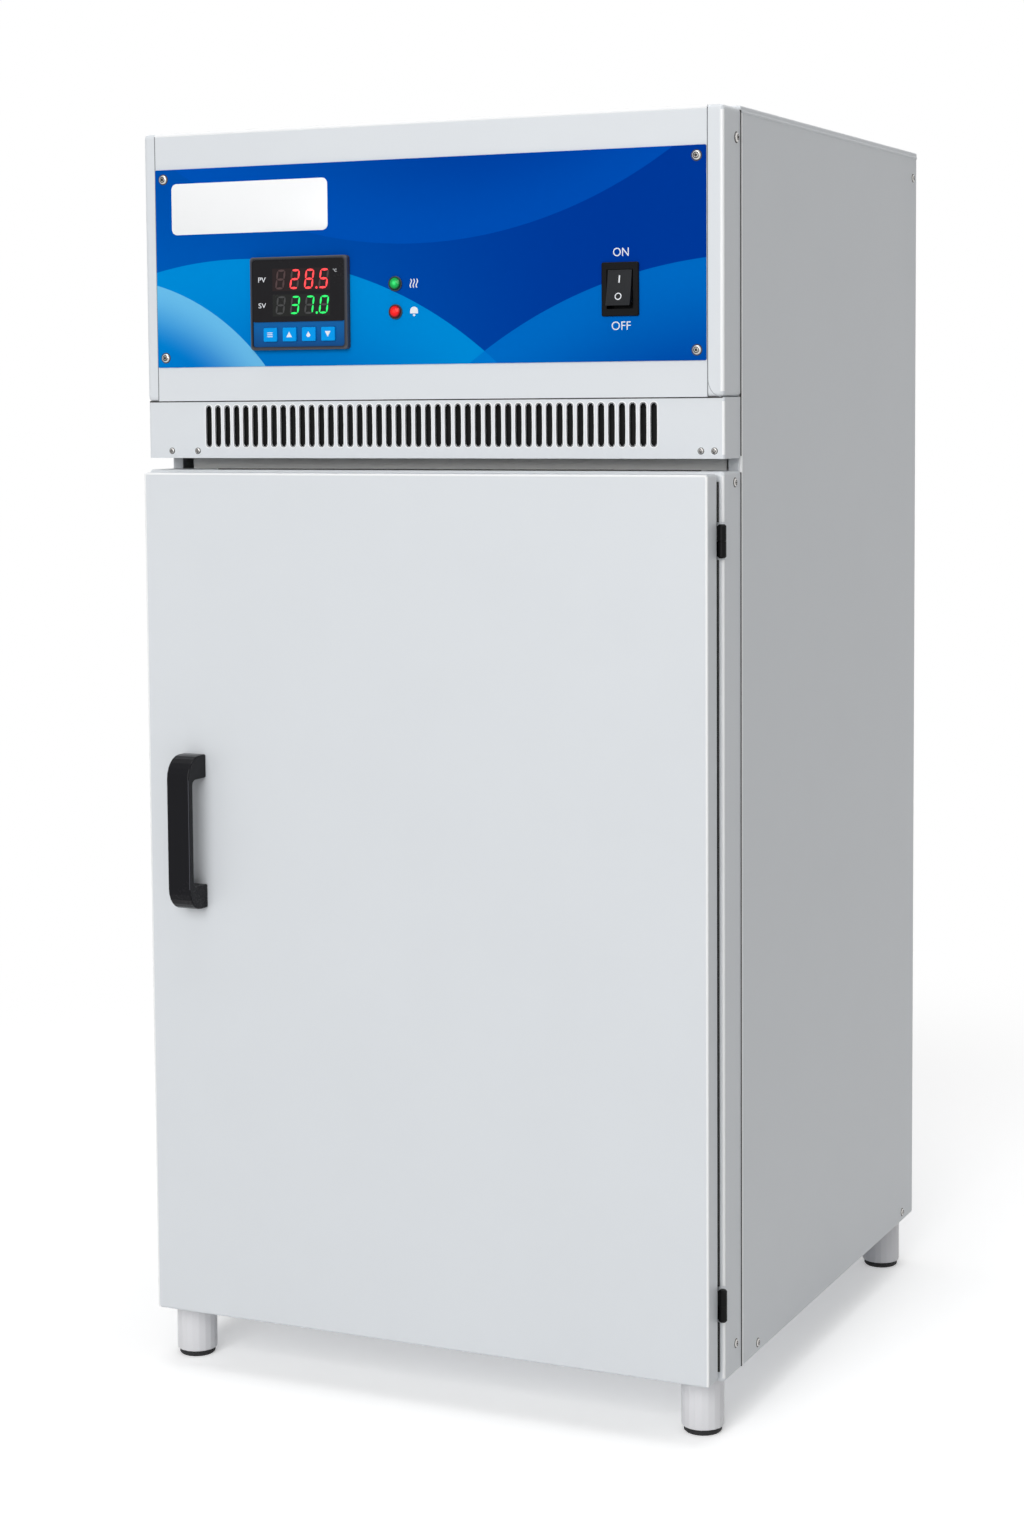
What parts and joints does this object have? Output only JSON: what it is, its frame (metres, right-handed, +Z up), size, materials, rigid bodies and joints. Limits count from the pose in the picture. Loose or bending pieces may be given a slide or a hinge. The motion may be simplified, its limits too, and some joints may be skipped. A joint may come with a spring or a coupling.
{
  "type": "biochemical oxygen demand incubator",
  "caption": "Floor-standing refrigerated incubator cabinet on round legs, with a hinged insulated door, wire shelves, a control head and a top machine compartment.",
  "frame": {"origin": "middle of the bounding box, on the floor under the four leg pads", "axes": "+Z up, +X to the viewer's right of the door, the door and controls face -Y"},
  "size_m": [0.6464, 0.7074, 1.3005],
  "materials": {
    "white_paint": "semi-gloss powder coat",
    "blue_plate": "printed satin overlay on sheet",
    "black_plastic": "satin moulded",
    "grey_plastic": "fine moulded texture",
    "dark_window": "smoked gloss",
    "key_blue": "matt",
    "green_lens": "clear tinted",
    "red_lens": "clear tinted",
    "stainless": "brushed",
    "black_rubber": "matt",
    "grey_rubber": "matt",
    "galvanised": "galvanised spangle",
    "foam": "rigid foam",
    "copper": "drawn tube",
    "aluminium": "mill",
    "black_steel": "black enamel"
  },
  "bodies": {
    "cabinet": {"left_side_panel": "white_paint", "right_side_panel": "white_paint", "top_cover": "white_paint", "back_panel": "galvanised", "base_pan": "galvanised", "machine_deck": "galvanised", "front_frame": "white_paint", "insulation_jacket": "foam", "chamber_liner": "stainless", "door_collar": "white_paint", "fascia_panel": "white_paint", "left_end_cap": "white_paint", "right_end_cap": "white_paint", "control_plate": "blue_plate", "vent_strip": "white_paint", "controller_case": "grey_plastic", "controller_window": "dark_window", "heater_lamp_bezel": "black_plastic", "heater_lamp_lens": "green_lens", "alarm_lamp_bezel": "black_plastic", "alarm_lamp_lens": "red_lens", "switch_housing": "black_plastic", "front_left_leg": "white_paint", "front_right_leg": "white_paint", "rear_left_leg": "white_paint", "rear_right_leg": "white_paint", "front_left_leg_pad": "black_rubber", "front_right_leg_pad": "black_rubber", "rear_left_leg_pad": "black_rubber", "rear_right_leg_pad": "black_rubber", "upper_hinge_fixed_leaf": "black_steel", "lower_hinge_fixed_leaf": "black_steel", "upper_shelf": "stainless", "middle_shelf": "stainless", "lower_shelf": "stainless", "left_shelf_rack": "stainless", "right_shelf_rack": "stainless", "air_duct_cover": "stainless", "evaporator_coil": "copper", "heater_element": "black_steel", "temperature_probe": "stainless", "chamber_fan_motor": "black_steel", "compressor": "black_steel", "condenser": "aluminium", "condenser_fan_shroud": "black_plastic", "mains_inlet": "black_plastic"},
    "door": {"door_skin": "white_paint", "door_inner_pan": "white_paint", "door_foam": "foam", "door_gasket": "grey_rubber", "door_handle": "black_plastic", "upper_hinge_door_leaf": "black_steel", "lower_hinge_door_leaf": "black_steel"},
    "rocker": {"switch_rocker": "black_plastic"},
    "set_button": {"set_key": "key_blue"},
    "up_button": {"up_key": "key_blue"},
    "shift_button": {"shift_key": "key_blue"},
    "down_button": {"down_key": "key_blue"},
    "chamber_fan_rotor": {"chamber_fan": "aluminium"},
    "condenser_fan_rotor": {"condenser_fan": "aluminium"}
  },
  "joints": [
    {"name": "door_hinge", "type": "hinge", "parent": "cabinet", "child": "door", "pos_m": [0.3189, -0.29005, 0.5], "axis": [0, 0, 1], "range_deg": [0, 150]},
    {"name": "rocker_tilt", "type": "hinge", "parent": "cabinet", "child": "rocker", "pos_m": [0.21415, -0.28605, 1.1258], "axis": [1, 0, 0], "range_deg": [0, 22]},
    {"name": "set_press", "type": "slide", "parent": "cabinet", "child": "set_button", "axis": [0, 1, 0], "range_m": [0, 0.0008], "stiffness_N_per_m": 800},
    {"name": "up_press", "type": "slide", "parent": "cabinet", "child": "up_button", "axis": [0, 1, 0], "range_m": [0, 0.0008], "stiffness_N_per_m": 800},
    {"name": "shift_press", "type": "slide", "parent": "cabinet", "child": "shift_button", "axis": [0, 1, 0], "range_m": [0, 0.0008], "stiffness_N_per_m": 800},
    {"name": "down_press", "type": "slide", "parent": "cabinet", "child": "down_button", "axis": [0, 1, 0], "range_m": [0, 0.0008], "stiffness_N_per_m": 800},
    {"name": "chamber_fan_spin", "type": "hinge", "parent": "cabinet", "child": "chamber_fan_rotor", "pos_m": [-0.0018, 0.21835, 0.693], "axis": [0, 1, 0], "continuous": true},
    {"name": "condenser_fan_spin", "type": "hinge", "parent": "cabinet", "child": "condenser_fan_rotor", "pos_m": [0.1632, 0.25095, 1.0656], "axis": [0, 1, 0], "continuous": true}
  ]
}
